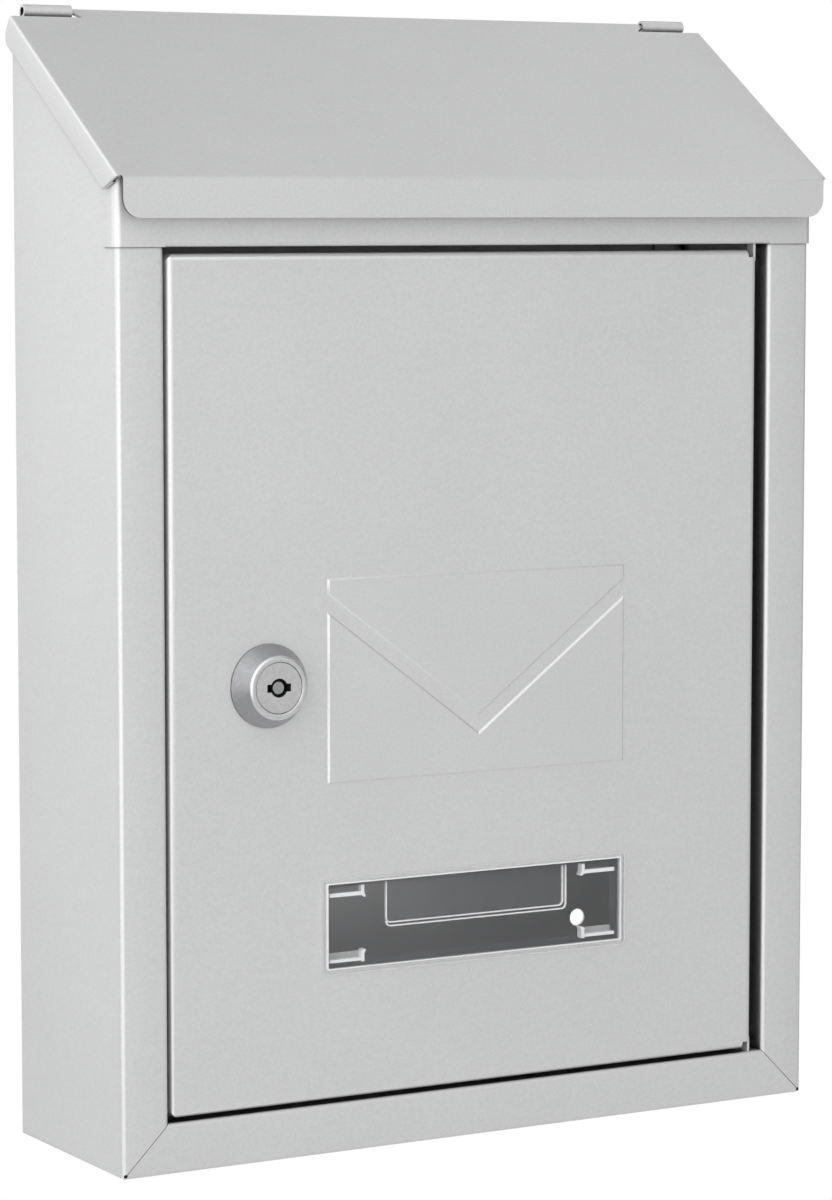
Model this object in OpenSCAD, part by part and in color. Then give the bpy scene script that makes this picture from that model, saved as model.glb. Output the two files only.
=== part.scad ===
/* [Casing] */
// Outside width of the casing
body_w = 215; // [180:1:320]
// Depth from the wall to the front frame
body_d = 63.2; // [50:0.1:120]
// Height of the door opening's top edge above the casing's underside
seam_z = 241.8; // [200:0.1:360]
// Width of the front frame's stiles and bottom rail
frame_w = 13.6; // [10:0.1:24]
// Sheet thickness of every folded piece
sheet = 0.7; // [0.5:0.05:0.9]
// Outside radius of the casing's folds
fold_r = 1.3; // [1.1:0.1:2]
// Depth of the lips folded back round the door opening
lip_d = 12; // [9:0.5:12.5]
// Width of the casing's inward flanges at the wall
rear_flange_w = 10; // [6:0.5:14]
// Width of the slit left at each mitred frame corner
mitre_gap = 0.16; // [0.1:0.02:0.3]
// Diameter of the relief hole at each mitred corner
relief_hole_d = 1; // [0.6:0.1:1.6]

/* [Wall fixing] */
// Distance between the wall holes, side to side
hole_pitch_x = 142.6; // [80:0.1:170]
// Distance between the wall holes, up and down
hole_pitch_z = 200; // [120:1:220]
// Height of the lower wall holes above the casing's underside
hole_low_z = 44.3; // [30:0.1:60]
// Diameter of the wall holes
hole_d = 5; // [3:0.1:8]

/* [Lid] */
// Slope of the lid
lid_slope = 33.6; // [20:0.1:40]
// Height of the lid's front fold above the door opening, at the lid's outer face
lid_rise = 17.7; // [14:0.1:30]
// How far the lid's front lip stands in front of the frame
lid_overhang = 6; // [4:0.1:12]
// Gap between the lid's hems and the lintel's returns
lid_side_gap = 0.2; // [0.1:0.05:2]
// Height of the lid's front lip
lid_lip_h = 10.3; // [6:0.1:12]
// Radius of the lip's lower corners
lid_lip_r = 5; // [2:0.5:5.5]
// Drop of the lid's side flanges below its outer face
lid_flange_drop = 8; // [6.5:0.1:12]
// Width of the hem turned up inside each side flange
lid_hem_w = 4; // [2.5:0.5:5]
// Gap between the lid and the casing's top edges
lid_gap = 0.4; // [0.2:0.1:1]
// How far the lid's ends stop short of the hinge axis
lid_end_gap = 3.2; // [2.8:0.1:5]

/* [Lid hinge] */
// Width of the flat lugs that the lid turns on
lid_lug_w = 1.9; // [1.4:0.1:2.6]
// How far each of the lid's lugs reaches into its rolled tab
lid_lug_reach = 7; // [4:0.5:7.5]
// Radial clearance round the lid's and the door's lugs
lug_clearance = 0.05; // [0.02:0.01:0.1]
// Distance from the casing's side to a rolled tab's outer edge
tab_inset = 2.5; // [1.5:0.5:8]
// Width of each rolled tab
tab_w = 14; // [8:0.5:24]
// Gap between a tab and the middle of the lid's rear edge
tab_gap = 0.5; // [0.3:0.1:1]
// Width of the relief beside each of the lid's lugs
lug_relief = 2; // [1:0.5:4]

/* [Lintel] */
// Length of the lintel's returns along the side walls
lintel_return = 6.7; // [4:0.1:12]
// How far the frame's stiles run up behind the lintel
lintel_lap = 8; // [4:0.5:10]
// Width of the lintel's folded top edge
lintel_hem = 6; // [4:0.5:9]

/* [Door] */
// Gap between the door and the frame on the lock side
door_gap_lock = 0.8; // [0.7:0.1:1.5]
// Gap between the door and the frame on the hinge side
door_gap_hinge = 3.6; // [3:0.1:5]
// Gap above the door
door_gap_top = 1.8; // [1.2:0.1:3]
// Gap below the door
door_gap_bottom = 1.1; // [0.8:0.1:2]
// Depth of the door's folded edges
door_d = 8; // [6:0.5:9]
// Outside radius of the door's folds
door_fold_r = 1.8; // [1:0.1:2.5]
// Radius of the door's corners, seen from the front
door_corner_r = 2.6; // [1:0.1:4]
// Width of each pivot lug, from front to back
lug_w = 2.2; // [1.6:0.1:3]
// Distance from the door's front face to the pivot axis
pivot_depth = 2.1; // [1.9:0.1:3.2]
// How far each lug stands through its lip
lug_reach = 1.2; // [0.8:0.1:3]
// Width of the notch that frees each lug
notch_w = 2.9; // [2:0.1:5]
// Height of the notch that frees each lug
notch_h = 1.9; // [1.2:0.1:4]

/* [Envelope emboss] */
// Width of the embossed envelope
envelope_w = 93; // [60:1:110]
// Height of the embossed envelope
envelope_h = 54.6; // [36:0.1:70]
// How far the middles of the envelope and the lock lie below the door's middle
centre_drop = 0.3; // [-20:0.1:20]
// Height that the emboss stands proud
emboss_h = 0.45; // [0.2:0.05:0.6]
// Height of the flap's straight sides
flap_side_h = 4.1; // [2:0.1:8]
// Depth of the flap's point below the envelope's top
flap_drop = 39; // [30:0.1:44]
// Height of the channel between the flap and the envelope's body, at the sides
channel_h = 4.6; // [3:0.1:8]

/* [Name window] */
// Width of the window's rim
window_w = 95.4; // [60:0.1:100]
// Height of the window's rim
window_h = 26; // [18:0.1:30]
// Distance of the window's middle from the door frame's middle, to the hinge side
window_x = -0.8; // [-10:0.1:10]
// Height of the window's underside above the casing's underside
window_z = 48.5; // [40:0.1:55]
// How far the window's rim laps over its cut-out
window_lap = 1.6; // [1:0.1:3]
// Thickness of the window's clear plate
window_t = 1; // [0.6:0.1:1.6]
// Width of each corner clip behind the window
clip_w = 11.5; // [6:0.1:16]
// Height of each corner clip behind the window
clip_h = 3.6; // [2:0.1:5]
// Width of the tongue that holds the name card
tongue_w = 55.5; // [30:0.1:70]
// Height of the tongue that holds the name card
tongue_h = 12; // [6:0.1:14]

/* [Lock] */
// Distance from the door opening's edge to the lock's axis
lock_inset = 29.7; // [20:0.1:36]
// Diameter of the lock's collar at the door
collar_d = 22.2; // [20:0.1:26]
// Diameter of the collar's front edge
collar_front_d = 16.4; // [15:0.1:18]
// How far the collar stands in front of the door
collar_h = 6.4; // [4:0.1:6.9]
// Diameter of the lock's threaded barrel
barrel_d = 18; // [15:0.1:20]
// Depth of each of the barrel's two flats
barrel_flat_depth = 1; // [0.5:0.1:1.2]
// Diameter of the plug's head
plug_head_d = 13.4; // [12:0.1:14]
// Diameter of the plug behind its head
plug_d = 12; // [11.8:0.1:13]
// Clearance round turning lock pieces
turn_clearance = 0.05; // [0.02:0.01:0.1]
// Width of the keyway
keyway_w = 7; // [5:0.1:7.4]
// Height of the keyway
keyway_h = 2.1; // [1.4:0.1:2.4]
// Diameter of the post in the keyway's middle
post_d = 3.3; // [2.8:0.1:3.8]
// How far the cam's tip reaches behind the frame's lip
cam_reach = 5.6; // [3:0.1:6]
// Gap between the frame's lip and the cam
cam_gap = 2.25; // [1:0.05:5]
// Width of the cam
cam_w = 12; // [10:0.5:14]
// Thickness of the cam
cam_t = 1.6; // [1.2:0.1:2.5]
// Number of wafers in the plug
wafer_count = 5; // [3:1:6]

/* [Hidden] */

$fn = 96;
eps = 0.01;
bend_steps = 8;
// Large enough to reach past the casing in any direction
big = 1000;

// Casing, with x = 0 in its middle, y = 0 at its front frame and z = 0 at its underside
half_w = body_w / 2;
open_half = half_w - frame_w;
inner_r = fold_r - sheet;
origin_z = hole_low_z + hole_pitch_z / 2;

// Lid and its hinge
lid_front_z = seam_z + lid_rise;
lid_front_y = -lid_overhang;
hem_gap = 0.1;
lid_half = half_w + 3 * sheet + hem_gap + lid_side_gap;
lid_fold_r = 1.2;
tab_in_r = norm([lid_lug_w, sheet]) / 2 + lug_clearance;
tab_r = tab_in_r + sheet;
tab_out = half_w - tab_inset;
tab_in = tab_out - tab_w;
// Angle of the open gap in each tab's roll
roll_open = 80;
// The hinge axis lies in the middle of the lid's sheet
axis_y = body_d - tab_r;
axis_u = (axis_y - lid_front_y - sheet / 2 * sin(lid_slope)) / cos(lid_slope);
axis_z = lid_front_z + axis_u * sin(lid_slope) - sheet / 2 * cos(lid_slope);
lid_end_u = axis_u - lid_end_gap;
// The back plate's top edge, and the wall flanges' top edge below its welding tabs
tab_root_gap = 0.5;
tab_plate_h = 7;
plate_top_z = axis_z - tab_r - tab_root_gap;
rear_flange_top_z = plate_top_z - tab_plate_h;

// Door
door_x0 = -open_half + door_gap_lock;
door_x1 = open_half - door_gap_hinge;
door_z0 = frame_w + door_gap_bottom;
door_z1 = seam_z - door_gap_top;
door_mid_z = (door_z0 + door_z1) / 2;
pivot_x = door_x1 - sheet / 2;
pivot_hole_r = norm([lug_w, sheet]) / 2 + lug_clearance;
lug_shoulder = 0.9;

// Name window and card holder
window_wall = 0.9;
window_collar_l = 2.6;
window_hook = 0.8;
window_hook_t = 0.7;
holder_t = 0.8;
holder_rim = 1;

// Lock, measured along its axis from the door's front face
lock_x = open_half - lock_inset;
lock_z = door_mid_z - centre_drop;
barrel_flats = barrel_d - 2 * barrel_flat_depth;
cam_l = lock_inset + sheet + cam_reach;
head_l = 3;
plug_front = -collar_h + 0.25;
stop_t = 1;
cam_y = lip_d + cam_gap;
stop_y = cam_y - stop_t;
barrel_l = stop_y - turn_clearance;
stop_r = barrel_d / 2 - 0.4;
stop_lug_l = 1;
stop_lug_r = (barrel_d + plug_d) / 4;
stop_lug_a0 = 35;
stop_lug_turn = 20;
tail_flats = 6;
tail_d = 8;
stud_d = 6;
cam_washer_t = 1.2;
cam_nut_t = 4;
cam_nut_flats = 10;
lock_washer_t = 0.8;
lock_nut_t = 3.5;
lock_nut_flats = barrel_d + 5;
cam_washer_y = cam_y + cam_t;
cam_nut_y = cam_washer_y + cam_washer_t;
stud_end = cam_nut_y + cam_nut_t + 0.8;
keyway_depth = barrel_l - 1.2;
post_l = 4;
post_recess = 0.4;
ring_gap = 0.85;
ring_depth = 2.4;
wafer_t = 0.6;
wafer_w = 9;
wafer_h = 7.4;
wafer_pitch = 1.6;
wafer_first_y = 1.2;
spring_d = 1.1;
spring_l = 1.4;
fit_gap = 0.05;

// Points of an arc about c
function arc(c, r, a0, a1) =
    [for (i = [0:bend_steps]) let (a = a0 + (a1 - a0) * i / bend_steps) c + r * [cos(a), sin(a)]];

// Outline of a rectangle from lo to hi with a round corner of radius r at each end of its low side
function low_round(lo, hi, r) = concat(
    arc([lo.x + r, lo.y + r], r, 180, 270),
    arc([hi.x - r, lo.y + r], r, 270, 360),
    [hi, [lo.x, hi.y]]);

// Outline of a rectangle with four round corners
function all_round(lo, hi, r) = concat(
    arc([lo.x + r, lo.y + r], r, 180, 270),
    arc([hi.x - r, lo.y + r], r, 270, 360),
    arc([hi.x - r, hi.y - r], r, 0, 90),
    arc([lo.x + r, hi.y - r], r, 90, 180));

function unit(v) = v / norm(v);
function left_of(v) = [-v.y, v.x];
function turn_angle(a, b) = atan2(a.x * b.y - a.y * b.x, a * b);

// One side of a folded sheet that follows path, offset to the left by off, with folds of middle radius r
function fold_side(path, off, r) = let (last = len(path) - 1) concat(
    [path[0] + off * left_of(unit(path[1] - path[0]))],
    [for (i = [1:1:last - 1])
        let (d0 = unit(path[i] - path[i - 1]), d1 = unit(path[i + 1] - path[i]))
        let (turn = turn_angle(d0, d1), s = sign(turn))
        let (centre = path[i] - d0 * r * tan(abs(turn) / 2) + left_of(d0) * r * s)
        let (n0 = -s * left_of(d0), start = atan2(n0.y, n0.x))
        for (p = arc(centre, r - s * off, start, start + turn)) p],
    [path[last] + off * left_of(unit(path[last] - path[last - 1]))]);

function reversed(v) = [for (i = [len(v) - 1:-1:0]) v[i]];

// Section of a folded sheet
module folded(path, t, r) {
    polygon(concat(fold_side(path, t / 2, r), reversed(fold_side(path, -t / 2, r))));
}

// Extrudes an x-y section upwards
module along_z(z0, z1) {
    translate([0, 0, z0]) linear_extrude(z1 - z0) children();
}

// Extrudes a y-z section across the casing
module along_x(x0, x1) {
    translate([x0, 0, 0]) rotate([90, 0, 90]) linear_extrude(x1 - x0) children();
}

// Extrudes an x-z section backwards
module along_y(y0, y1) {
    translate([0, y1, 0]) rotate([90, 0, 0]) linear_extrude(y1 - y0) children();
}

// Moves a piece from the casing's measures into the frame of the wall holes
module placed() {
    translate([0, -body_d, -origin_z]) children();
}

// The lid's own frame: y runs up the slope from the front fold and z stands off its outer face
module lid_frame() {
    translate([0, lid_front_y, lid_front_z]) rotate([lid_slope, 0, 0]) children();
}

// Everything above a plane that lies n off the lid's outer face
module above_lid(n) {
    lid_frame() translate([-big / 2, -big / 2, n]) cube(big);
}

// Lock frame: z runs backwards into the box and y points down
module lock_frame(y) {
    translate([-lock_x, y, lock_z]) rotate([-90, 0, 0]) children();
}

// Closed block with the casing's folds, shrunk by g
module casing_block(g) {
    r = fold_r - g;
    lo = [-half_w + g, g];
    hi = [half_w - g, body_d - g];
    intersection() {
        along_z(0, big) polygon(all_round(lo, hi, r));
        along_x(-half_w, half_w) polygon(low_round([g, g], [body_d - g, big], r));
        along_y(0, body_d) polygon(low_round([-half_w + g, g], [half_w - g, big], r));
    }
}

// The door opening as its lips leave it, grown by g
module opening_block(g) {
    r = fold_r - g;
    flare = fold_r + 1;
    right = concat([[open_half + g, lip_d]],
                   arc([open_half + fold_r, fold_r], r, 180, 270),
                   [[open_half + flare, g], [open_half + flare, -flare]]);
    left = [for (p = reversed(right)) [-p.x, p.y]];
    low = concat([[lip_d, frame_w - g]],
                 arc([fold_r, frame_w - fold_r], r, 90, 180),
                 [[g, frame_w - flare], [-flare, frame_w - flare]]);
    intersection() {
        along_z(0, big) polygon(concat(right, left));
        along_x(-half_w, half_w) polygon(concat(low, [[-flare, seam_z], [lip_d, seam_z]]));
    }
}

// Sides, bottom and front frame, folded from one sheet
module casing() {
    color("silver") placed() difference() {
        union() {
            difference() {
                casing_block(0);
                casing_block(sheet);
                // Front cut-out, up to the folds of its lips
                translate([-open_half - fold_r, -1, frame_w - fold_r])
                    cube([2 * (open_half + fold_r), fold_r + 1, big]);
                // Rear cut-out inside the wall flanges
                translate([-half_w + rear_flange_w, body_d - fold_r, rear_flange_w])
                    cube([body_w - 2 * rear_flange_w, fold_r + 1, big]);
                // The wall flanges stop under the back plate's tabs
                translate([-half_w + fold_r, body_d - fold_r, rear_flange_top_z])
                    cube([body_w - 2 * fold_r, fold_r + 1, big]);
            }
            difference() {
                opening_block(sheet);
                opening_block(0);
            }
        }
        above_lid(-sheet - lid_gap);
        // The side walls' rear corners stop where the lid ends
        lid_frame() translate([-half_w - 1, lid_end_u, -lid_flange_drop]) cube([body_w + 2, big, big]);
        // The lips stop at the lintel
        translate([-open_half - fold_r, -1, seam_z - fit_gap])
            cube([2 * (open_half + fold_r), lip_d + 2, big]);
        // Behind the lintel the frame's flanges stop short of its folded top edge
        translate([-half_w + fold_r, -1, seam_z + lintel_lap])
            cube([body_w - 2 * fold_r, fold_r + 1, big]);
        for (side = [-1, 1]) {
            // Mitre slit and its relief hole
            translate([side * open_half, 0, frame_w]) rotate([0, -side * 45, 0])
                translate([-mitre_gap / 2, -1, -(frame_w - relief_hole_d) * sqrt(2)])
                    cube([mitre_gap, lip_d + 2, (frame_w - relief_hole_d) * sqrt(2) + 1]);
            translate([side * (half_w - relief_hole_d), -1, relief_hole_d]) rotate([-90, 0, 0])
                cylinder(h = 1 + sheet + eps, d = relief_hole_d);
        }
        // Pivot hole in the bottom lip
        translate([pivot_x, pivot_depth, frame_w - fold_r - 1])
            cylinder(h = fold_r + 2, r = pivot_hole_r);
    }
}

// Rolled end of a tab, about the x axis and from x on, with a gap in front of its straight part
module rolled_tab(x) {
    far = 3 * tab_r;
    translate([x, 0, 0]) rotate([90, 0, 90]) difference() {
        cylinder(h = tab_w, r = tab_r);
        translate([0, 0, -1]) cylinder(h = tab_w + 2, r = tab_in_r);
        translate([0, 0, -1]) linear_extrude(tab_w + 2)
            polygon([[0, 0], far * [cos(roll_open), -sin(roll_open)], [far, -far], [far, 0]]);
    }
}

// Back plate, with its edges set forward behind the casing's flanges and two rolled tabs
module back_plate() {
    field_half = half_w - rear_flange_w - fit_gap;
    edge_half = half_w - sheet - inner_r;
    tab_overlap = 0.1;
    color("gainsboro") placed() {
        difference() {
            union() {
                translate([-field_half, body_d - sheet, rear_flange_w + fit_gap])
                    cube([2 * field_half, sheet, plate_top_z - rear_flange_w - fit_gap]);
                translate([-tab_out, body_d - sheet, rear_flange_top_z + fit_gap])
                    cube([2 * tab_out, sheet, plate_top_z - rear_flange_top_z - fit_gap]);
                difference() {
                    translate([-edge_half, body_d - 2 * sheet, sheet + inner_r])
                        cube([2 * edge_half, sheet, rear_flange_top_z - sheet - inner_r]);
                    translate([-field_half + sheet, body_d - 2 * sheet - 1, rear_flange_w + sheet])
                        cube([2 * (field_half - sheet), sheet + 2, rear_flange_top_z
                              - rear_flange_w - 2 * sheet]);
                }
            }
            for (side = [-1, 1], z = [hole_low_z, hole_low_z + hole_pitch_z])
                translate([side * hole_pitch_x / 2, body_d - 3 * sheet, z]) rotate([-90, 0, 0])
                    cylinder(h = 4 * sheet, d = hole_d);
        }
        for (x = [-tab_out, tab_in]) {
            translate([x, body_d - sheet, plate_top_z - tab_overlap])
                cube([tab_w, sheet, axis_z - plate_top_z + 2 * tab_overlap]);
            translate([0, axis_y, axis_z]) rolled_tab(x);
        }
    }
}

// Strip above the door, with returns round both side walls and its edges folded in
module lintel() {
    out = half_w + sheet / 2;
    front = -sheet / 2;
    top = lid_front_z + (-sheet / 2 - lid_front_y) * tan(lid_slope)
        - (sheet + lid_gap + sheet / 2) / cos(lid_slope);
    band = fold_r + 2;
    lip_half = open_half - fit_gap;
    hem_half = half_w - sheet - 1;
    mid_r = fold_r - sheet / 2;
    color("silver") placed() difference() {
        union() {
            difference() {
                along_z(seam_z, top + 2 * band)
                    folded([[-out, lintel_return], [-out, front], [out, front], [out, lintel_return]],
                           sheet, mid_r + sheet);
                translate([-lip_half, -sheet - 1, seam_z - 1]) cube([2 * lip_half, sheet + 2, band + 1]);
                translate([-hem_half, -sheet - 1, top - band]) cube([2 * hem_half, sheet + 2, 4 * band]);
            }
            along_x(-lip_half, lip_half)
                folded([[lip_d, seam_z + sheet / 2], [front, seam_z + sheet / 2],
                        [front, seam_z + band + eps]], sheet, mid_r);
            along_x(-hem_half, hem_half)
                folded([[front, top - band - eps], [front, top],
                        [front, top] + lintel_hem * [cos(lid_slope), sin(lid_slope)]], sheet, mid_r);
        }
        above_lid(-sheet - lid_gap);
        translate([pivot_x, pivot_depth, seam_z - 1]) cylinder(h = fold_r + 2, r = pivot_hole_r);
    }
}

// Sloping lid with a front lip and hemmed side flanges, which turns on two flat lugs
module lid() {
    mid = sheet / 2;
    fold_mid = lid_fold_r - mid;
    lip_z = lid_front_z - lid_lip_h;
    knee_z = lid_front_z + mid * tan(lid_slope) - mid / cos(lid_slope);
    rear_half = tab_in - tab_gap;
    lug_end = tab_in + lid_lug_reach;
    lug_u = [axis_u - lid_lug_w / 2, axis_u + lid_lug_w / 2];
    hem_r = (sheet + hem_gap) / 2;
    lip_inset = 1.6;
    lip_half = lid_half - lip_inset;
    fold_cover = 8;
    sheet_u0 = 3;
    flange_u0 = 0.8;
    flange_tip_u = 6.4;
    flange_end_r = 4;
    wall_x = lid_half - mid;
    color("darkgray") placed() {
        // Front lip and fold
        intersection() {
            along_x(-lip_half, lip_half)
                folded([[lid_front_y + mid, lip_z - 1], [lid_front_y + mid, knee_z],
                        [lid_front_y + mid, knee_z] + fold_cover * [cos(lid_slope), sin(lid_slope)]],
                       sheet, fold_mid);
            along_y(-big, big)
                polygon(low_round([-lip_half, lip_z], [lip_half, lip_z + big], lid_lip_r));
        }
        lid_frame() {
            // Top sheet
            translate([-lid_half + lid_fold_r, sheet_u0, -sheet])
                cube([2 * (lid_half - lid_fold_r), lid_end_u - sheet_u0, sheet]);
            // Middle of its rear edge, with a lug at each end
            translate([0, 0, -sheet]) linear_extrude(sheet)
                for (side = [0, 1]) mirror([side, 0]) polygon([
                    [-1, lid_end_u - 1], [rear_half - lug_relief, lid_end_u - 1],
                    [rear_half - lug_relief, lid_end_u], [rear_half, lug_u[0]], [lug_end, lug_u[0]],
                    [lug_end, lug_u[1]], [-1, lug_u[1]]]);
            // Side flanges with their hems
            intersection() {
                for (side = [0, 1]) mirror([side, 0, 0])
                    translate([0, lid_end_u, 0]) rotate([90, 0, 0]) linear_extrude(lid_end_u)
                        folded([[lid_half - 2 * lid_fold_r - 1, -mid], [wall_x, -mid],
                                [wall_x, -lid_flange_drop + mid],
                                [wall_x - 2 * hem_r, -lid_flange_drop + mid],
                                [wall_x - 2 * hem_r, -lid_flange_drop + mid + lid_hem_w]],
                               sheet, hem_r);
                along_x(-lid_half, lid_half)
                    polygon(concat([[flange_tip_u, -lid_flange_drop], [flange_u0, 0], [lid_end_u, 0]],
                                   reversed(arc([lid_end_u - flange_end_r, -lid_flange_drop + flange_end_r],
                                                flange_end_r, -90, 0))));
            }
        }
    }
}

// Closed block with the door's folds, shrunk by g
module door_block(g) {
    r = door_fold_r - g;
    rear = door_d + g;
    intersection() {
        along_z(door_z0 + g, door_z1 - g)
            polygon(low_round([door_x0 + g, g], [door_x1 - g, rear], r));
        along_x(door_x0 + g, door_x1 - g)
            polygon([for (p = low_round([door_z0 + g, g], [door_z1 - g, rear], r)) [p.y, p.x]]);
        along_y(g, rear)
            polygon(all_round([door_x0 + g, door_z0 + g], [door_x1 - g, door_z1 - g], door_corner_r - g));
    }
}

// Envelope flap and body, seen from the front
envelope_z = door_mid_z - centre_drop - envelope_h / 2;
envelope_top = envelope_z + envelope_h;
flap_tip_z = envelope_top - flap_drop;
flap = [[-envelope_w / 2, envelope_top], [-envelope_w / 2, envelope_top - flap_side_h],
        [0, flap_tip_z], [envelope_w / 2, envelope_top - flap_side_h], [envelope_w / 2, envelope_top]];
pocket_top = envelope_top - flap_side_h - channel_h;
pocket = [[-envelope_w / 2, pocket_top], [-envelope_w / 2, envelope_z], [envelope_w / 2, envelope_z],
          [envelope_w / 2, pocket_top], [0, flap_tip_z - channel_h]];

// Pivot lug at one end of the door: a shoulder as high as the gap, and a tongue through the lip
module pivot_lug(gap, up) {
    shoulder_w = lug_w + 2 * lug_shoulder;
    shoulder_h = gap - fit_gap;
    root = notch_h + 1;
    translate([pivot_x - sheet / 2, pivot_depth, up > 0 ? door_z1 : door_z0])
        mirror([0, 0, up > 0 ? 0 : 1]) {
            translate([0, -lug_w / 2, -root]) cube([sheet, lug_w, root + gap + sheet + lug_reach]);
            translate([0, -lug_w / 2, -root]) cube([sheet, lug_w + lug_shoulder, root + shoulder_h]);
        }
}

// Door pan with its embossed envelope, window cut-out, lock hole and pivot lugs
module door_panel() {
    back_scale = 0.97;
    flap_mid = [0, envelope_top - flap_drop / 3];
    pocket_mid = [0, envelope_z + envelope_h / 4];
    color("silver") placed() {
        difference() {
            union() {
                door_block(0);
                along_y(-emboss_h, sheet / 2) {
                    polygon(flap);
                    polygon(pocket);
                }
            }
            door_block(sheet);
            // Back of the emboss
            along_y(sheet - emboss_h, sheet + eps) {
                translate(flap_mid) scale(back_scale) translate(-flap_mid) polygon(flap);
                translate(pocket_mid) scale(back_scale) translate(-pocket_mid) polygon(pocket);
            }
            // Window cut-out
            along_y(-1, 2 * sheet) translate(cutout_at) square(cutout);
            // Lock hole, with two flats that stop the barrel turning
            lock_frame(-1) intersection() {
                cylinder(h = 1 + 2 * sheet, d = barrel_d + 2 * fit_gap);
                translate([-barrel_d, -barrel_flats / 2 - fit_gap, 0])
                    cube([2 * barrel_d, barrel_flats + 2 * fit_gap, 1 + 2 * sheet]);
            }
            // Notches beside the pivot lugs
            for (z = [door_z0 - 1, door_z1 - notch_h])
                translate([door_x1 - notch_w, -1, z]) cube([notch_w + 1, door_d + 2, notch_h + 1]);
        }
        pivot_lug(door_gap_top, 1);
        pivot_lug(door_gap_bottom, -1);
    }
}

// Size of the window's cut-out, and its lower left corner
cutout = [window_w, window_h] - 2 * [window_lap, window_lap];
cutout_at = [window_x, window_z + window_h / 2] - cutout / 2;

// Rectangular frame of width w inside an outline of the given size
module frame_outline(size, w) {
    difference() {
        square(size);
        translate([w, w]) square(size - 2 * [w, w]);
    }
}

// Clear window: a rim in front of the door, and a collar through it with hooks behind
module name_window() {
    gap = [fit_gap, fit_gap];
    size = cutout - 2 * gap;
    color("lightblue", 0.5) placed() {
        along_y(-window_t, 0) translate(cutout_at - [window_lap, window_lap]) square([window_w, window_h]);
        along_y(-eps, window_collar_l) translate(cutout_at + gap) frame_outline(size, window_wall);
        along_y(sheet + fit_gap, sheet + fit_gap + window_hook_t)
            for (x = [0, size.x - clip_w], z = [-window_hook, size.y - eps])
                translate(cutout_at + gap + [x, z]) square([clip_w, window_hook + eps]);
    }
}

// Clear holder inside the window's collar, with four corner clips and a tongue for the name card
module card_holder() {
    edge = (window_wall + 2 * fit_gap) * [1, 1];
    size = cutout - 2 * edge;
    color("lightcyan", 0.5) placed() along_y(window_collar_l - holder_t, window_collar_l)
        translate(cutout_at + edge) {
            frame_outline(size, holder_rim);
            for (x = [0, size.x - clip_w], z = [0, size.y - clip_h]) translate([x, z])
                square([clip_w, clip_h]);
            translate([(size.x - tongue_w) / 2, size.y - tongue_h]) square([tongue_w, tongue_h]);
        }
}

// Flat ring between two radii, from angle a0 to a1
module ring_sector(r0, r1, a0, a1) {
    intersection() {
        difference() {
            circle(r1);
            circle(r0);
        }
        polygon(concat([[0, 0]], arc([0, 0], 2 * r1, a0, a1)));
    }
}

// Lock body: conical collar, threaded barrel with two flats, and a stepped bore
module lock_housing() {
    rim = 1;
    edge = 0.5;
    color("lightgray") placed() lock_frame(0) difference() {
        union() {
            rotate_extrude() polygon([[0, 0], [collar_d / 2, 0], [collar_d / 2, -rim],
                                      [collar_front_d / 2 + edge, -collar_h + edge / 2],
                                      [collar_front_d / 2, -collar_h], [0, -collar_h]]);
            intersection() {
                translate([0, 0, -eps]) cylinder(h = barrel_l + eps, d = barrel_d);
                translate([-barrel_d, -barrel_flats / 2, -1])
                    cube([2 * barrel_d, barrel_flats, barrel_l + 2]);
            }
        }
        translate([0, 0, -collar_h - 1])
            cylinder(h = collar_h + barrel_l + 2, d = plug_d + 2 * turn_clearance);
        translate([0, 0, -collar_h - 1])
            cylinder(h = 1 + collar_h + plug_front + head_l + turn_clearance,
                     d = plug_head_d + 2 * turn_clearance);
        // Quarter-turn track of the stop washer's lug
        translate([0, 0, barrel_l - stop_lug_l - 3 * fit_gap]) linear_extrude(stop_lug_l + 1)
            ring_sector(stop_lug_r - 3 * fit_gap, barrel_d, stop_lug_a0 - 1,
                        stop_lug_a0 + stop_lug_turn + 91);
    }
}

// Toothed washer under the nut
module lock_washer() {
    teeth = 16;
    out_d = barrel_d + 5;
    color("gainsboro") placed() lock_frame(sheet) linear_extrude(lock_washer_t) difference() {
        circle(d = out_d);
        circle(d = barrel_d + 2 * fit_gap);
        for (i = [0:teeth - 1]) rotate(360 * i / teeth) translate([out_d / 2, 0]) circle(d = 1.6);
    }
}

// Hexagon nut that clamps the lock to the door
module lock_nut() {
    color("gainsboro") placed() lock_frame(sheet + lock_washer_t) difference() {
        cylinder(h = lock_nut_t, d = lock_nut_flats / cos(30), $fn = 6);
        translate([0, 0, -1]) cylinder(h = lock_nut_t + 2, d = barrel_d + 2 * fit_gap);
    }
}

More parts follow.
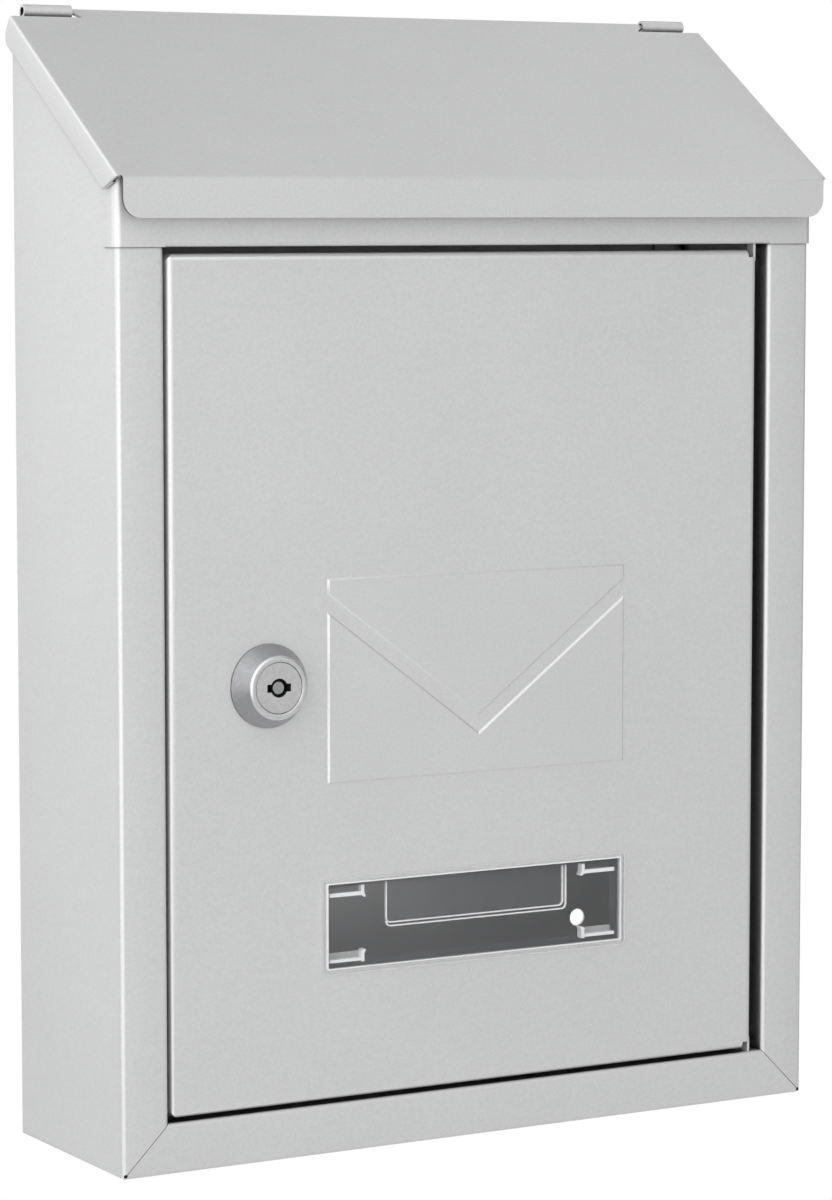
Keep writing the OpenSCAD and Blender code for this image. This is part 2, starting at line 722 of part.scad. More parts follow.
// Turning plug: head, wafer slots, keyway with a ring groove, flatted tail and threaded stud
module lock_plug() {
    color("silver") placed() lock_frame(0) difference() {
        union() {
            translate([0, 0, plug_front]) cylinder(h = head_l, d = plug_head_d);
            translate([0, 0, plug_front + head_l - eps])
                cylinder(h = barrel_l - plug_front - head_l + eps, d = plug_d);
            intersection() {
                translate([0, 0, barrel_l - eps]) cylinder(h = cam_washer_y - barrel_l + eps, d = tail_d);
                translate([-tail_d, -tail_flats / 2, 0]) cube([2 * tail_d, tail_flats, cam_washer_y + 1]);
            }
            translate([0, 0, cam_washer_y - eps]) cylinder(h = stud_end - cam_washer_y + eps, d = stud_d);
        }
        translate([-keyway_w / 2, -keyway_h / 2, plug_front - 1])
            cube([keyway_w, keyway_h, keyway_depth - plug_front + 1]);
        translate([0, 0, plug_front - 1]) cylinder(h = 1 + ring_depth, d = post_d + 2 * ring_gap);
        translate([0, 0, plug_front]) cylinder(h = post_l + fit_gap, d = post_d);
        for (i = [0:wafer_count - 1]) translate([0, 0, wafer_first_y + wafer_pitch * i]) {
            translate([-wafer_w / 2 - fit_gap, -wafer_h / 2 - fit_gap, -fit_gap])
                cube([wafer_w + 2 * fit_gap, wafer_h + 2 * fit_gap, wafer_t + 2 * fit_gap]);
            translate([0, wafer_h / 2, wafer_t / 2]) rotate([-90, 0, 0])
                cylinder(h = spring_l + 2 * fit_gap, d = spring_d + 2 * fit_gap);
        }
    }
}

// Hard post in the keyway's middle, pressed into the plug behind the ring groove
module lock_post() {
    color("lightgray") placed() lock_frame(plug_front + post_recess)
        cylinder(h = post_l - post_recess, d = post_d);
}

// Wafers that the key lines up
module lock_wafers() {
    window = 0.3;
    color("gold") placed() lock_frame(0) for (i = [0:wafer_count - 1])
        translate([0, 0, wafer_first_y + wafer_pitch * i]) difference() {
            translate([-wafer_w / 2, -wafer_h / 2, 0]) cube([wafer_w, wafer_h, wafer_t]);
            translate([-keyway_w / 2 - window, -keyway_h / 2 - window, -1])
                cube([keyway_w + 2 * window, keyway_h + 2 * window, wafer_t + 2]);
        }
}

// One spring below each wafer, drawn as its outer cylinder
module wafer_springs() {
    color("dimgray") placed() lock_frame(0) for (i = [0:wafer_count - 1])
        translate([0, wafer_h / 2 + fit_gap, wafer_first_y + wafer_pitch * i + wafer_t / 2])
            rotate([-90, 0, 0]) difference() {
                cylinder(h = spring_l, d = spring_d);
                translate([0, 0, -1]) cylinder(h = spring_l + 2, d = spring_d / 2);
            }
}

// Hole that fits the plug's flatted tail
module tail_hole(t) {
    translate([0, 0, -1]) intersection() {
        cylinder(h = t + 2, d = tail_d + 2 * fit_gap);
        translate([-tail_d, -tail_flats / 2 - fit_gap, 0])
            cube([2 * tail_d, tail_flats + 2 * fit_gap, t + 2]);
    }
}

// Washer on the plug's tail, with a lug that limits it to a quarter turn
module stop_washer() {
    color("gainsboro") placed() lock_frame(stop_y) {
        difference() {
            cylinder(h = stop_t, r = stop_r);
            tail_hole(stop_t);
        }
        translate([0, 0, -stop_lug_l]) linear_extrude(stop_lug_l + eps)
            ring_sector(stop_lug_r, stop_r, stop_lug_a0, stop_lug_a0 + stop_lug_turn);
    }
}

// Cam that turns behind the frame's lip
module lock_cam() {
    color("gainsboro") placed() lock_frame(cam_y) difference() {
        linear_extrude(cam_t) {
            circle(d = cam_w);
            translate([-cam_w / 2, 0]) square([cam_w, cam_l - cam_w / 2]);
            translate([0, cam_l - cam_w / 2]) circle(d = cam_w);
        }
        tail_hole(cam_t);
    }
}

// Lock washer under the cam's nut
module cam_washer() {
    color("gray") placed() lock_frame(cam_washer_y) difference() {
        cylinder(h = cam_washer_t, d = cam_nut_flats);
        translate([0, 0, -1]) cylinder(h = cam_washer_t + 2, d = stud_d + 2 * fit_gap);
    }
}

// Nut that holds the cam
module cam_nut() {
    color("gray") placed() lock_frame(cam_nut_y) difference() {
        cylinder(h = cam_nut_t, d = cam_nut_flats / cos(30), $fn = 6);
        translate([0, 0, -1]) cylinder(h = cam_nut_t + 2, d = stud_d + 2 * fit_gap);
    }
}

casing();
back_plate();
lintel();
lid();
door_panel();
name_window();
card_holder();
lock_housing();
lock_washer();
lock_nut();
lock_plug();
lock_post();
lock_wafers();
wafer_springs();
stop_washer();
lock_cam();
cam_washer();
cam_nut();
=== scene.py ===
"""Looks of a wall mounted mailbox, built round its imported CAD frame. Lengths are in metres."""
from math import cos, pi, radians, sin

import bmesh
import bpy
from mathutils import Euler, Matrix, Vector


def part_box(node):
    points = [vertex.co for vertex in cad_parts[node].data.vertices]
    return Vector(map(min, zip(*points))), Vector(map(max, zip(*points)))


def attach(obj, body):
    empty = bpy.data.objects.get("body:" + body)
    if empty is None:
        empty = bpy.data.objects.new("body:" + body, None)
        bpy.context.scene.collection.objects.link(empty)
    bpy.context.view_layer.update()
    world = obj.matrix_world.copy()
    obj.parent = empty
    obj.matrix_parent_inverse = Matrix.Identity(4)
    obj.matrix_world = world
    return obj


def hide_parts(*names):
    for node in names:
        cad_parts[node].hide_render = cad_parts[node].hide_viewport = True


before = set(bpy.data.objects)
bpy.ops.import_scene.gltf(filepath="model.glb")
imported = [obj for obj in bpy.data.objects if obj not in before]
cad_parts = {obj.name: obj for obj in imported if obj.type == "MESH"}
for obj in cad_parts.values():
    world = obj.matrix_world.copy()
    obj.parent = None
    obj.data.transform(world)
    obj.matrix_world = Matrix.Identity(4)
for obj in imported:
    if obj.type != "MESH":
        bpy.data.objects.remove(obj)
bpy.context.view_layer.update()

MM = 0.001
SHEET = 0.7 * MM
# Clean-up of the CAD meshes: points closer than this are one, and flatter bends than this are one face
WELD = 0.002 * MM
FACET_ANGLE = radians(0.3)
# Edges sharper than the first angle stay crisp, and those sharper than the second get a fine bevel
SMOOTH_ANGLE = radians(32)
BEVEL_ANGLE = radians(40)
BEVEL_STEPS = 2
SHEET_EDGE = 0.12 * MM
LID_EDGE = 0.1 * MM
PANE_EDGE = 0.06 * MM
HOLDER_EDGE = 0.08 * MM
LOCK_EDGE = 0.06 * MM
# Envelope on the door: height of its raised faces, run of their slopes, and the step left at the foot
EMBOSS_H = 0.45 * MM
EMBOSS_SLOPE = 0.55 * MM
EMBOSS_STEP = 0.03 * MM
# Flat faces of the door above this area, in square metres, are shaded flat
RAISED_AREA = 0.001
# Reach of the shade painted into the paint's gaps and corners
GAP_SHADE_REACH = 7.0 * MM
# Lock: recess round the keyway, how deep the shade painted in it reaches, plug and collar
KEYWAY_R = 3.9 * MM
KEYWAY_SKIN = 0.2 * MM
KEYWAY_DEPTH = 8 * MM
PLUG_HEAD_D = 13.4 * MM
PLUG_GAP = 0.12 * MM
COLLAR_FRONT_D = 16.4 * MM
TURN_STEPS = 96
CONE_STEPS = 4
# Name window: pane, its lap over the door, clips (near bar, far bar and top, by edge) and tongue
WINDOW_T = 1.0 * MM
WINDOW_LAP = 1.6 * MM
CLIP_W = 10.8 * MM
CLIP_BARS = {1: (0.3 * MM, 1.2 * MM, 2.8 * MM), -1: (1.7 * MM, 2.8 * MM, 2.8 * MM)}
TONGUE_W = 57.2 * MM
TONGUE_H = 12.4 * MM
TONGUE_SHIFT = 1.65 * MM

# Camera, fitted to the object's edges: place, turn to the right, tilt and lens
CAMERA_PLACE = Vector((-0.5629, -1.0041, 0.1078))
CAMERA_YAW = radians(30.01)
CAMERA_PITCH = radians(-5.5)
CAMERA_LENS_MM = 122.6
SENSOR_MM = 36.0
FLOOR_Z = -0.9
# Soft room light: the direction it is brightest in, and its strength there and opposite
ROOM_BRIGHT = (-0.9, -0.4, 0.1)
ROOM_HIGH = 0.95
ROOM_LOW = 0.25
ROOM_TURN = 0.4
LIGHT_AIM = Vector((0, -0.03, 0))
FLOOR_SIZE = 12.0


# ---------------------------------------------------------------- materials

SILVER = (0.78, 0.78, 0.775)
PAINT_METALLIC = 0.55
PAINT_ROUGHNESS = 0.42
METAL_GRAIN = 900
PLASTIC_IOR = 1.49


def new_material(name):
    """A new node material, its node tree and its shader, linked to the output."""
    material = bpy.data.materials.new(name)
    material.use_nodes = True
    tree = material.node_tree
    tree.nodes.clear()
    output = tree.nodes.new("ShaderNodeOutputMaterial")
    shader = tree.nodes.new("ShaderNodeBsdfPrincipled")
    tree.links.new(shader.outputs[0], output.inputs[0])
    return material, tree, shader


def noise(tree, scale, detail=3.0, roughness=0.5):
    """Noise in the object's own space, with scale in features per metre."""
    place = tree.nodes.new("ShaderNodeTexCoord")
    node = tree.nodes.new("ShaderNodeTexNoise")
    node.inputs["Scale"].default_value = scale
    node.inputs["Detail"].default_value = detail
    node.inputs["Roughness"].default_value = roughness
    tree.links.new(place.outputs["Object"], node.inputs["Vector"])
    return node.outputs["Fac"]


def mapped(tree, value, low, high, start=0.3, end=0.7):
    """value, taken from start..end to low..high."""
    node = tree.nodes.new("ShaderNodeMapRange")
    node.inputs["From Min"].default_value = start
    node.inputs["From Max"].default_value = end
    node.inputs["To Min"].default_value = low
    node.inputs["To Max"].default_value = high
    tree.links.new(value, node.inputs["Value"])
    return node.outputs["Result"]


def math_node(tree, operation, a, b):
    node = tree.nodes.new("ShaderNodeMath")
    node.operation = operation
    for socket, value in zip(node.inputs, (a, b)):
        if isinstance(value, (int, float)):
            socket.default_value = value
        else:
            tree.links.new(value, socket)
    return node.outputs[0]


def tinted(tree, value, colour):
    """colour times value."""
    node = tree.nodes.new("ShaderNodeVectorMath")
    node.operation = "SCALE"
    node.inputs[0].default_value = colour
    tree.links.new(value, node.inputs["Scale"])
    return node.outputs[0]


def bumped(tree, shader, height, strength, distance):
    node = tree.nodes.new("ShaderNodeBump")
    node.inputs["Strength"].default_value = strength
    node.inputs["Distance"].default_value = distance
    tree.links.new(height, node.inputs["Height"])
    tree.links.new(node.outputs[0], shader.inputs["Normal"])


def painted_gap_shade(tree, distance, closed, clear):
    """Painted shade for gaps and corners: one where more than clear of the sky is open within distance,
    almost nothing below closed.
    """
    node = tree.nodes.new("ShaderNodeAmbientOcclusion")
    node.samples = 8
    node.inputs["Distance"].default_value = distance
    return mapped(tree, node.outputs["AO"], 0.02, 1.0, closed, clear)


def silver_paint(name, gaps=None):
    """Satin silver finish: a very fine mottle, faint broad clouds and an even grain, and, where asked for,
    shade painted into its gaps and corners.
    """
    material, tree, shader = new_material(name)
    mottle = mapped(tree, noise(tree, 1400, 2.0), 0.965, 1.035)
    clouds = mapped(tree, noise(tree, 22, 3.0), 0.985, 1.015)
    tone = math_node(tree, "MULTIPLY", mottle, clouds)
    # painted shade: the colour is darkened where little of the sky is open, in gaps and corners
    if gaps:
        tone = math_node(tree, "MULTIPLY", tone, painted_gap_shade(tree, GAP_SHADE_REACH, *gaps))
    tree.links.new(tinted(tree, tone, SILVER), shader.inputs["Base Color"])
    shader.inputs["Metallic"].default_value = PAINT_METALLIC
    rough = mapped(tree, noise(tree, 300, 4.0), PAINT_ROUGHNESS - 0.03, PAINT_ROUGHNESS + 0.03)
    tree.links.new(rough, shader.inputs["Roughness"])
    bumped(tree, shader, noise(tree, 1100, 3.0), 0.25, 0.03 * MM)
    return material


def plain_metal(name, colour, roughness, metallic=1.0):
    """Machined or plated metal with a fine grain."""
    material, tree, shader = new_material(name)
    tone = mapped(tree, noise(tree, METAL_GRAIN, 3.0), 0.93, 1.05)
    tree.links.new(tinted(tree, tone, colour), shader.inputs["Base Color"])
    shader.inputs["Metallic"].default_value = metallic
    rough = mapped(tree, noise(tree, METAL_GRAIN / 3, 3.0), roughness - 0.05, roughness + 0.05)
    tree.links.new(rough, shader.inputs["Roughness"])
    bumped(tree, shader, noise(tree, METAL_GRAIN, 3.0), 0.2, 0.02 * MM)
    return material


def clear_plastic(name, colour, alpha, roughness):
    """Clear moulded plastic, seen through; in white with a high alpha it is a painted highlight on the
    moulding's edges.
    """
    material, tree, shader = new_material(name)
    tone = mapped(tree, noise(tree, 120, 3.0), 0.95, 1.0)
    tree.links.new(tinted(tree, tone, colour), shader.inputs["Base Color"])
    rough = mapped(tree, noise(tree, 90, 2.0), roughness, roughness + 0.04)
    tree.links.new(rough, shader.inputs["Roughness"])
    shader.inputs["IOR"].default_value = PLASTIC_IOR
    shader.inputs["Alpha"].default_value = alpha
    bumped(tree, shader, noise(tree, 60, 2.0), 0.15, 0.1 * MM)
    return material


# One silver paint four times, differing only in the shade painted into their gaps: strongest on the casing
# and back plate, weaker on the lintel and lid, none on the door
BODY_PAINT = silver_paint("body_paint", (0.45, 0.8))
LINTEL_PAINT = silver_paint("lintel_paint", (0.15, 0.4))
LID_PAINT = silver_paint("lid_paint", (0.15, 0.4))
DOOR_PAINT = silver_paint("door_paint")
ZINC = plain_metal("zinc_plate", (0.72, 0.73, 0.75), 0.32)
# One plated metal in two tones: darker on the collar's cone and the barrel as painted shaded reflection,
# lighter on the front ring as painted bright reflection
COLLAR_METAL_PAINTED_DARK = plain_metal("satin_chrome_painted_dark", (0.45, 0.45, 0.465), 0.33)
RING_METAL_PAINTED_BRIGHT = plain_metal("ring_metal_painted_bright", (0.86, 0.86, 0.86), 0.3)
PLUG_METAL = plain_metal("plug_metal", (0.82, 0.82, 0.81), 0.26)
POST_METAL = plain_metal("post_metal", (0.5, 0.5, 0.51), 0.3)
# Near black: shade painted on the faces inside the lock's keyway
KEYWAY_SHADE = plain_metal("keyway_painted_shade", (0.03, 0.03, 0.03), 0.6, metallic=0.3)
# Near black: the lid lip's cut edge, with the shade of the gap round the lip painted on it
CUT_EDGE_AND_SHADE = plain_metal("cut_edge_and_painted_shade", (0.09, 0.09, 0.09), 0.5, metallic=0.6)
BRASS = plain_metal("wafer_brass", (0.83, 0.66, 0.33), 0.30)
SPRING_STEEL = plain_metal("spring_steel", (0.42, 0.43, 0.45), 0.30)
CLEAR = clear_plastic("clear_plastic", (0.85, 0.86, 0.9), 0.03, 0.04)
# White and nearly opaque, and white and faint: painted highlights on the clear moulding's edges, bars and
# lines
CLEAR_HIGHLIGHT = clear_plastic("clear_plastic_painted_highlight", (1.0, 1.0, 1.0), 0.92, 0.08)
CLEAR_FAINT_HIGHLIGHT = clear_plastic("clear_plastic_painted_faint_highlight", (1.0, 1.0, 1.0), 0.24, 0.08)


# ---------------------------------------------------------------- pieces

def link(name, mesh, *materials):
    piece = bpy.data.objects.new(name, mesh)
    bpy.context.scene.collection.objects.link(piece)
    for material in materials:
        mesh.materials.append(material)
    return piece


def place(piece, body, slot, *nodes):
    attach(piece, body)
    if nodes:
        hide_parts(*nodes)


def shade(shape):
    """Smooth faces, with every edge sharper than a fold's steps kept crisp."""
    for face in shape.faces:
        face.smooth = True
    for line in shape.edges:
        line.smooth = len(line.link_faces) == 2 and line.calc_face_angle() < SMOOTH_ANGLE


def soften(piece, width):
    """A fine bevel along the sharp edges."""
    bevel = piece.modifiers.new("edges", "BEVEL")
    bevel.width = width
    bevel.segments = BEVEL_STEPS
    bevel.limit_method = "ANGLE"
    bevel.angle_limit = BEVEL_ANGLE
    bevel.harden_normals = True


def cad_copy(node):
    """A CAD node's mesh with its facets joined into clean faces."""
    shape = bmesh.new()
    shape.from_mesh(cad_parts[node].data)
    bmesh.ops.remove_doubles(shape, verts=shape.verts, dist=WELD)
    bmesh.ops.dissolve_limit(shape, angle_limit=FACET_ANGLE, verts=shape.verts, edges=shape.edges)
    return shape


def finished(shape, name, *materials):
    shade(shape)
    mesh = bpy.data.meshes.new(name)
    shape.to_mesh(mesh)
    shape.free()
    return link(name, mesh, *materials)


def add_skin(node, body, slot, material):
    """A copy of a CAD node with smooth folds and softened edges, in its place."""
    piece = finished(cad_copy(node), node + "_skin", material)
    soften(piece, SHEET_EDGE)
    place(piece, body, slot, node)


def add_door():
    """The door pan, with the envelope's flap and body raised on sloping, rounded steps."""
    shape = cad_copy("door_panel")
    front_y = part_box("door_panel")[0][1]
    raised = [face for face in shape.faces
              if face.normal.y < -0.99 and face.calc_center_median().y < front_y + EMBOSS_H / 2]
    for face in raised:
        ring = bmesh.ops.inset_region(shape, faces=[face], thickness=EMBOSS_SLOPE,
                                      use_even_offset=True)
        for vert in {vert for part in ring["faces"] for vert in part.verts} - set(face.verts):
            vert.co.y = front_y + EMBOSS_H - EMBOSS_STEP
    piece = finished(shape, "door_panel_skin", DOOR_PAINT)
    for face in piece.data.polygons:
        face.use_smooth = not (face.normal.y < -0.99 and face.area > RAISED_AREA)
    soften(piece, SHEET_EDGE)
    place(piece, "door", "door_metal", "door_panel")


def turned(shape, centre, rows):
    """A turned shell about the line along y through centre (x, z), from rows of (radius, y)."""
    circle = [(cos(2 * pi * i / TURN_STEPS), sin(2 * pi * i / TURN_STEPS)) for i in range(TURN_STEPS)]
    rings = [[shape.verts.new((centre[0] + r * along, y, centre[1] + r * up)) for along, up in circle]
             for r, y in rows]
    for ring, following in zip(rings, rings[1:] + rings[:1]):
        for i in range(TURN_STEPS):
            k = (i + 1) % TURN_STEPS
            shape.faces.new((ring[i], ring[k], following[k], following[i]))


def add_housing():
    """Lock body: the threaded part, and a turned collar with a plated cone and a bright front ring; the
    cone and barrel carry a painted dark reflection, the ring a painted bright one.
    """
    (x0, y0, z0), (x1, _, z1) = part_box("lock_housing")
    door_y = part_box("door_panel")[0][1] + EMBOSS_H
    centre = ((x0 + x1) / 2, (z0 + z1) / 2)
    outer = (x1 - x0) / 2
    bore = PLUG_HEAD_D / 2 + PLUG_GAP
    front = COLLAR_FRONT_D / 2
    foot = [(outer - 0.4 * MM, door_y - 0.02 * MM), (outer, door_y - 0.3 * MM), (outer, door_y - 0.9 * MM)]
    low, high = (outer - 0.1 * MM, door_y - 1.1 * MM), (front + 0.3 * MM, y0 + 0.5 * MM)
    cone = [tuple(a + (b - a) * step / CONE_STEPS for a, b in zip(low, high))
            for step in range(CONE_STEPS + 1)]
    nose = [(front + 0.15 * MM, y0 + 0.2 * MM), (front - 0.1 * MM, y0 + 0.05 * MM),
            (front - 0.35 * MM, y0), (bore + 0.3 * MM, y0), (bore + 0.08 * MM, y0 + 0.06 * MM)]
    mouth = [(bore, y0 + 0.25 * MM), (bore, y0 + 3.0 * MM), (bore + 0.3 * MM, y0 + 3.0 * MM)]
    barrel = cad_copy("lock_housing")
    collar = [face for face in barrel.faces if face.calc_center_median().y < door_y - 0.01 * MM]
    bmesh.ops.delete(barrel, geom=collar, context="FACES")
    place(finished(barrel, "lock_housing_skin", COLLAR_METAL_PAINTED_DARK), "door", "lock_body_metal", "lock_housing")
    shape = bmesh.new()
    turned(shape, centre, foot + cone + nose + mouth)
    # the front ring gets the bright tone and the cone the dark one: painted reflection
    for face in shape.faces:
        middle = face.calc_center_median()
        if Vector((middle.x - centre[0], middle.z - centre[1])).length < front + 0.25 * MM:
            face.material_index = 1
    bmesh.ops.recalc_face_normals(shape, faces=shape.faces)
    place(finished(shape, "lock_collar_face", COLLAR_METAL_PAINTED_DARK, RING_METAL_PAINTED_BRIGHT), "door", "lock_body_metal")


def add_lid():
    """The lid, with the cut edge round its front lip painted near black, partly the darker edge and partly
    the shade of the gap round the lip.
    """
    shape = cad_copy("lid")
    lip_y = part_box("lid")[0][1] + SHEET
    for face in shape.faces:
        # faces round the lip's edge take the near black colour, partly painted shade
        if face.calc_center_median().y < lip_y and abs(face.normal.y) < 0.3:
            face.material_index = 1
    piece = finished(shape, "lid_skin", LID_PAINT, CUT_EDGE_AND_SHADE)
    soften(piece, LID_EDGE)
    place(piece, "lid", "lid_metal", "lid")


def add_plug():
    """The plug and the post in its keyway, with shade painted near black on the faces inside the keyway.
    """
    (x0, front_y, z0), (x1, _, z1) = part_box("lock_plug")
    axis = Vector(((x0 + x1) / 2, (z0 + z1) / 2))
    for node, material in (("lock_plug", PLUG_METAL), ("lock_post", POST_METAL)):
        shape = cad_copy(node)
        first_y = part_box(node)[0][1] + KEYWAY_SKIN
        for face in shape.faces:
            middle = face.calc_center_median()
            near = (Vector((middle.x, middle.z)) - axis).length < KEYWAY_R
            # faces inside the keyway take the near black painted shade
            if near and first_y < middle.y < front_y + KEYWAY_DEPTH:
                face.material_index = 1
        piece = finished(shape, node + "_skin", material, KEYWAY_SHADE)
        soften(piece, LOCK_EDGE)
        place(piece, "lock_cylinder", "lock_plug_metal", node)


SKINS = (
    ("casing", "box", "body_metal", BODY_PAINT),
    ("back_plate", "box", "body_metal", BODY_PAINT),
    ("lintel", "box", "body_metal", LINTEL_PAINT),
    ("lock_washer", "door", "zinc_steel", ZINC),
    ("lock_nut", "door", "zinc_steel", ZINC),
    ("lock_wafers", "lock_cylinder", "wafer_brass", BRASS),
    ("stop_washer", "lock_cylinder", "zinc_steel", ZINC),
    ("lock_cam", "lock_cylinder", "zinc_steel", ZINC),
    ("cam_washer", "lock_cylinder", "zinc_steel", ZINC),
    ("cam_nut", "lock_cylinder", "zinc_steel", ZINC),
)
for node, body, slot, material in SKINS:
    add_skin(node, body, slot, material)
add_door()
add_lid()
add_housing()
add_plug()


# ---------------------------------------------------------------- name window

def prism(shape, outline, y0, y1, material=0):
    """A plate from an x-z outline, seen from the front, between two depths."""
    loops = [[shape.verts.new((x, y, z)) for x, z in outline] for y in (y0, y1)]
    faces = [shape.faces.new(loops[0]), shape.faces.new(reversed(loops[1]))]
    count = len(outline)
    for i in range(count):
        k = (i + 1) % count
        faces.append(shape.faces.new((loops[0][i], loops[1][i], loops[1][k], loops[0][k])))
    for face in faces:
        face.material_index = material


def hollow_frame(shape, outer, inner, y0, y1, material=0):
    """A ring between two outlines with the same number of points, between two depths."""
    rows = [[shape.verts.new((x, y, z)) for x, z in outline]
            for outline, y in ((outer, y0), (outer, y1), (inner, y1), (inner, y0))]
    count = len(outer)
    for i in range(count):
        k = (i + 1) % count
        for row, following in zip(rows, rows[1:] + rows[:1]):
            face = shape.faces.new((row[i], following[i], following[k], row[k]))
            face.material_index = material


def round_box(low, high, radius, steps=5):
    """Outline of a rectangle with round corners."""
    (x0, z0), (x1, z1) = low, high
    centres = ((x1 - radius, z1 - radius), (x0 + radius, z1 - radius),
               (x0 + radius, z0 + radius), (x1 - radius, z0 + radius))
    turns = [(centre, pi / 2 * (corner + i / steps))
             for corner, centre in enumerate(centres) for i in range(steps + 1)]
    return [(cx + radius * cos(turn), cz + radius * sin(turn)) for (cx, cz), turn in turns]


def shrunk(low, high, by):
    return (low[0] + by, low[1] + by), (high[0] - by, high[1] - by)


def sorted_box(a, b):
    """Lower left and upper right corner of the rectangle between two opposite corners."""
    return (min(a[0], b[0]), min(a[1], b[1])), (max(a[0], b[0]), max(a[1], b[1]))


def add_window():
    """Clear moulding: a thin pane in a raised rim, with a collar through the door and hooks behind."""
    (x0, y0, z0), (x1, y1, z1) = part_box("name_window")
    low, high = (x0, z0), (x1, z1)
    door_y = y0 + WINDOW_T
    shape = bmesh.new()
    steps = (0.0, 0.3 * MM, WINDOW_LAP - 0.25 * MM, WINDOW_LAP + 0.1 * MM)
    bands = [round_box(*shrunk(low, high, step), max(1.2 * MM - step, 0.4 * MM)) for step in steps]
    # outer band with a faint painted highlight, clear middle, inner band at the opening with a bright
    # painted highlight
    for outer, inner, material in zip(bands, bands[1:], (2, 0, 1)):
        hollow_frame(shape, outer, inner, y0, door_y, material)
    bore = shrunk(low, high, WINDOW_LAP + 0.1 * MM)
    hollow_frame(shape, bands[-1], round_box(*shrunk(*bore, 0.7 * MM), 0.4 * MM), door_y - 0.05 * MM, y1)
    prism(shape, bands[-1], y0 + 0.45 * MM, y0 + 0.9 * MM)
    for left in (True, False):
        for top in (True, False):
            a = bore[0][0] if left else bore[1][0] - CLIP_W
            b = bore[1][1] - 0.2 * MM if top else bore[0][1] - 0.8 * MM
            prism(shape, [(a, b), (a + CLIP_W, b), (a + CLIP_W, b + MM), (a, b + MM)],
                  door_y + SHEET + 0.05 * MM, door_y + SHEET + 0.75 * MM)
    piece = finished(shape, "name_window_skin", CLEAR, CLEAR_HIGHLIGHT, CLEAR_FAINT_HIGHLIGHT)
    soften(piece, PANE_EDGE)
    place(piece, "door", "clear_plastic", "name_window")


def add_card_holder():
    """Clear holder: a rim with a pocket at each corner, and a wide tongue for the name card."""
    (x0, y0, z0), (x1, y1, z1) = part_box("card_holder")
    low, high = (x0, z0), (x1, z1)
    wall = 0.6 * MM
    post = 1.0 * MM
    shape = bmesh.new()
    inside = round_box(*shrunk(low, high, wall), 0.4 * MM)
    hollow_frame(shape, round_box(low, high, 0.6 * MM), inside, y0, y1)
    middle = (x0 + x1) / 2
    for side in (-1, 1):
        for up, edge_z in ((1, z0), (-1, z1)):
            near, far, top = CLIP_BARS[up]

            def at(along, inward):
                """Distance from the side rim towards the middle, and from the edge inwards."""
                return middle + side * ((x1 - x0) / 2 - along), edge_z + up * inward
            outline = [at(0.1 * MM, far), at(0.1 * MM, near), at(CLIP_W - post, near),
                       at(CLIP_W - post, 0.0), at(CLIP_W, 0.0), at(CLIP_W, top - 0.6 * MM),
                       at(CLIP_W + 0.5 * MM, top + 0.4 * MM), at(CLIP_W, top + 0.6 * MM),
                       at(CLIP_W - post, top)]
            if top > far:
                outline.append(at(CLIP_W - post, far))
            # each clip in the bright painted highlight
            prism(shape, outline if side * up > 0 else outline[::-1], y0 - 1.4 * MM, y1, 1)
            start, end = (far, top) if up > 0 else (0.1 * MM, near)
            plate = sorted_box(at(wall, start), at(CLIP_W - post, end))
            # pockets: the lower ones in the faint painted highlight, the upper ones clear
            prism(shape, round_box(*plate, 0.2 * MM), y0, y1 - 0.2 * MM, 2 if up > 0 else 0)
    left = middle + TONGUE_SHIFT - TONGUE_W / 2
    right = left + TONGUE_W
    for inset, legs in ((0.0, (1,)), (1.0 * MM, (-1, 1))):
        add_tongue_line(shape, left, right - inset, z1, TONGUE_H - inset, y0, y1, legs)
    prism(shape, round_box((left + MM, z1 - TONGUE_H + 1.6 * MM), (right - 1.6 * MM, z1 - wall), 0.8 * MM),
          y0 + 0.2 * MM, y1 - 0.1 * MM)
    piece = finished(shape, "card_holder_skin", CLEAR, CLEAR_HIGHLIGHT, CLEAR_FAINT_HIGHLIGHT)
    soften(piece, HOLDER_EDGE)
    place(piece, "door", "clear_plastic", "card_holder")


def add_tongue_line(shape, left, right, top, drop, y0, y1, legs):
    """One wall of the slot round the tongue, in the bright painted highlight: a bottom line, and upright
    legs on the sides named.
    """
    line = 0.4 * MM
    radius = 1.5 * MM
    steps = 6
    outer, inner = [], []
    for side, end in ((-1, left), (1, right)):
        arc_outer, arc_inner = [], []
        centre = (end - side * radius, top - drop + radius)
        for i in range(steps + 1):
            turn = pi / 2 * i / steps
            for points, r in ((arc_outer, radius), (arc_inner, radius - line)):
                points.append((centre[0] + side * r * cos(turn), centre[1] - r * sin(turn)))
        if side in legs:
            arc_outer.insert(0, (end, top))
            arc_inner.insert(0, (end - side * line, top))
        outer += arc_outer if side < 0 else arc_outer[::-1]
        inner += arc_inner if side < 0 else arc_inner[::-1]
    prism(shape, outer + inner[::-1], y0, y1, 1)


add_window()
add_card_holder()

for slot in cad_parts["wafer_springs"].material_slots:
    slot.material = SPRING_STEEL


# ---------------------------------------------------------------- stage, light and camera

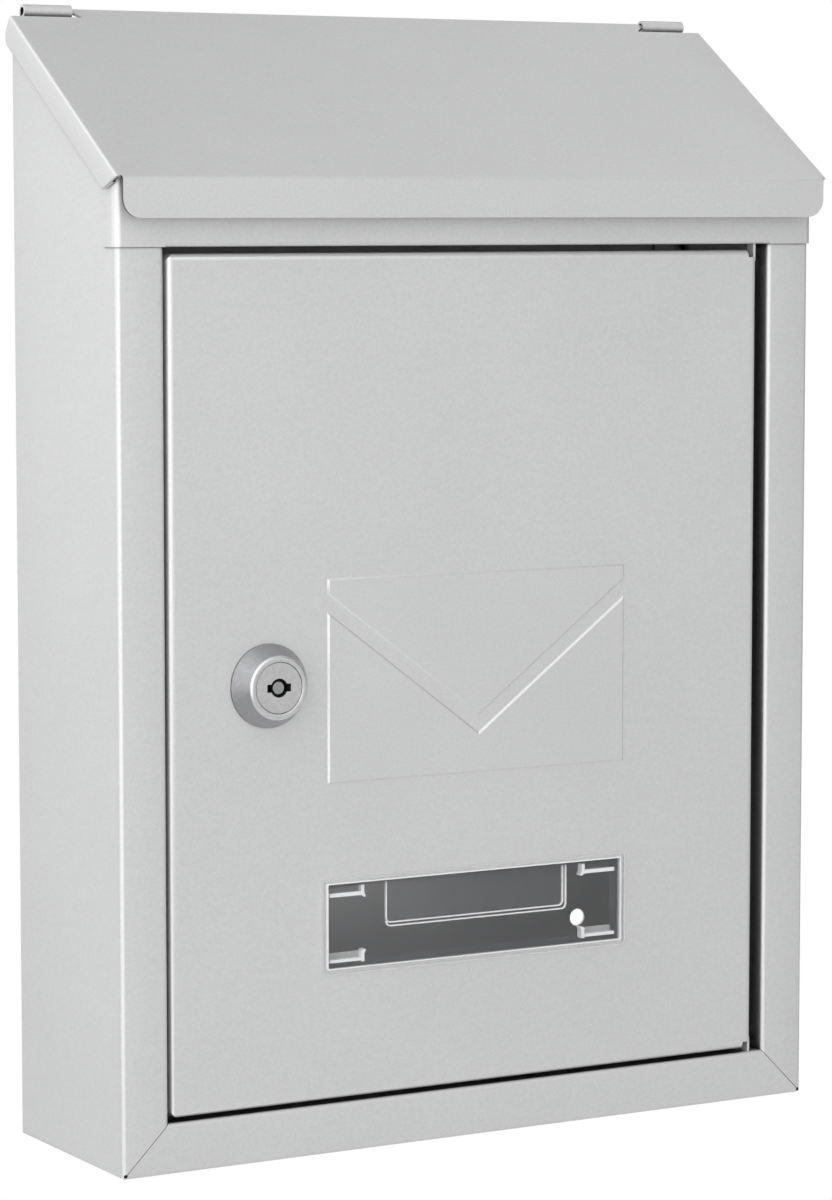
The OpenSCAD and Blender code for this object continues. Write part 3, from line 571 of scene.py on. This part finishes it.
def add_floor():
    """A pale plain floor, white to the camera."""
    shape = bmesh.new()
    bmesh.ops.create_grid(shape, x_segments=1, y_segments=1, size=FLOOR_SIZE / 2)
    mesh = bpy.data.meshes.new("floor")
    shape.to_mesh(mesh)
    shape.free()
    material, tree, shader = new_material("floor_pale")
    shader.inputs["Base Color"].default_value = (0.82, 0.82, 0.82, 1)
    shader.inputs["Roughness"].default_value = 0.9
    glow = tree.nodes.new("ShaderNodeEmission")
    mix = tree.nodes.new("ShaderNodeMixShader")
    ray = tree.nodes.new("ShaderNodeLightPath")
    tree.links.new(ray.outputs["Is Camera Ray"], mix.inputs[0])
    tree.links.new(shader.outputs[0], mix.inputs[1])
    tree.links.new(glow.outputs[0], mix.inputs[2])
    tree.links.new(mix.outputs[0], tree.nodes["Material Output"].inputs[0])
    floor = link("floor", mesh, material)
    floor.location = (0, 0, FLOOR_Z)


def add_light(name, place_at, size, power):
    """A square lamp aimed at the object, not seen by the camera."""
    lamp = bpy.data.lights.new(name, "AREA")
    lamp.shape = "SQUARE"
    lamp.size = size
    lamp.energy = power
    lamp_object = bpy.data.objects.new(name, lamp)
    bpy.context.scene.collection.objects.link(lamp_object)
    lamp_object.location = place_at
    lamp_object.visible_camera = False
    toward = LIGHT_AIM - Vector(place_at)
    lamp_object.rotation_euler = toward.to_track_quat("-Z", "Y").to_euler()


def add_world():
    """White behind the object; for its light, a soft room that is brighter on the left and in front."""
    world = bpy.data.worlds.new("studio")
    world.use_nodes = True
    tree = world.node_tree
    tree.nodes.clear()
    output = tree.nodes.new("ShaderNodeOutputWorld")
    mix = tree.nodes.new("ShaderNodeMixShader")
    seen = tree.nodes.new("ShaderNodeBackground")
    lit = tree.nodes.new("ShaderNodeBackground")
    ray = tree.nodes.new("ShaderNodeLightPath")
    seen.inputs["Color"].default_value = (1, 1, 1, 1)
    lit.inputs["Color"].default_value = (0.985, 0.99, 1, 1)
    place_in = tree.nodes.new("ShaderNodeTexCoord")
    toward = tree.nodes.new("ShaderNodeVectorMath")
    toward.operation = "DOT_PRODUCT"
    toward.inputs[1].default_value = Vector(ROOM_BRIGHT).normalized()
    tree.links.new(place_in.outputs["Generated"], toward.inputs[0])
    strength = mapped(tree, toward.outputs["Value"], ROOM_LOW, ROOM_HIGH, -ROOM_TURN, ROOM_TURN)
    tree.links.new(strength, lit.inputs["Strength"])
    tree.links.new(ray.outputs["Is Camera Ray"], mix.inputs[0])
    tree.links.new(lit.outputs[0], mix.inputs[1])
    tree.links.new(seen.outputs[0], mix.inputs[2])
    tree.links.new(mix.outputs[0], output.inputs[0])
    bpy.context.scene.world = world


def add_camera():
    lens = bpy.data.cameras.new("camera")
    lens.lens = CAMERA_LENS_MM
    lens.sensor_width = SENSOR_MM
    camera = bpy.data.objects.new("camera", lens)
    bpy.context.scene.collection.objects.link(camera)
    camera.location = CAMERA_PLACE
    camera.rotation_euler = Euler((pi / 2 + CAMERA_PITCH, 0, -CAMERA_YAW))
    bpy.context.scene.camera = camera


add_floor()
add_world()
add_light("key", (-0.62, -0.68, 0.26), 1.3, 4.4)
add_light("side", (-1.0, 0.5, 0.45), 1.1, 1.6)
add_light("fill", (1.4, -1.5, 0.4), 1.4, 0.9)
add_light("above", (0.75, 0.1, 1.1), 0.7, 0.7)
add_light("spark", (-0.45, -0.2, 0.75), 0.25, 0.1)
add_camera()
bpy.context.scene.view_settings.view_transform = "Standard"
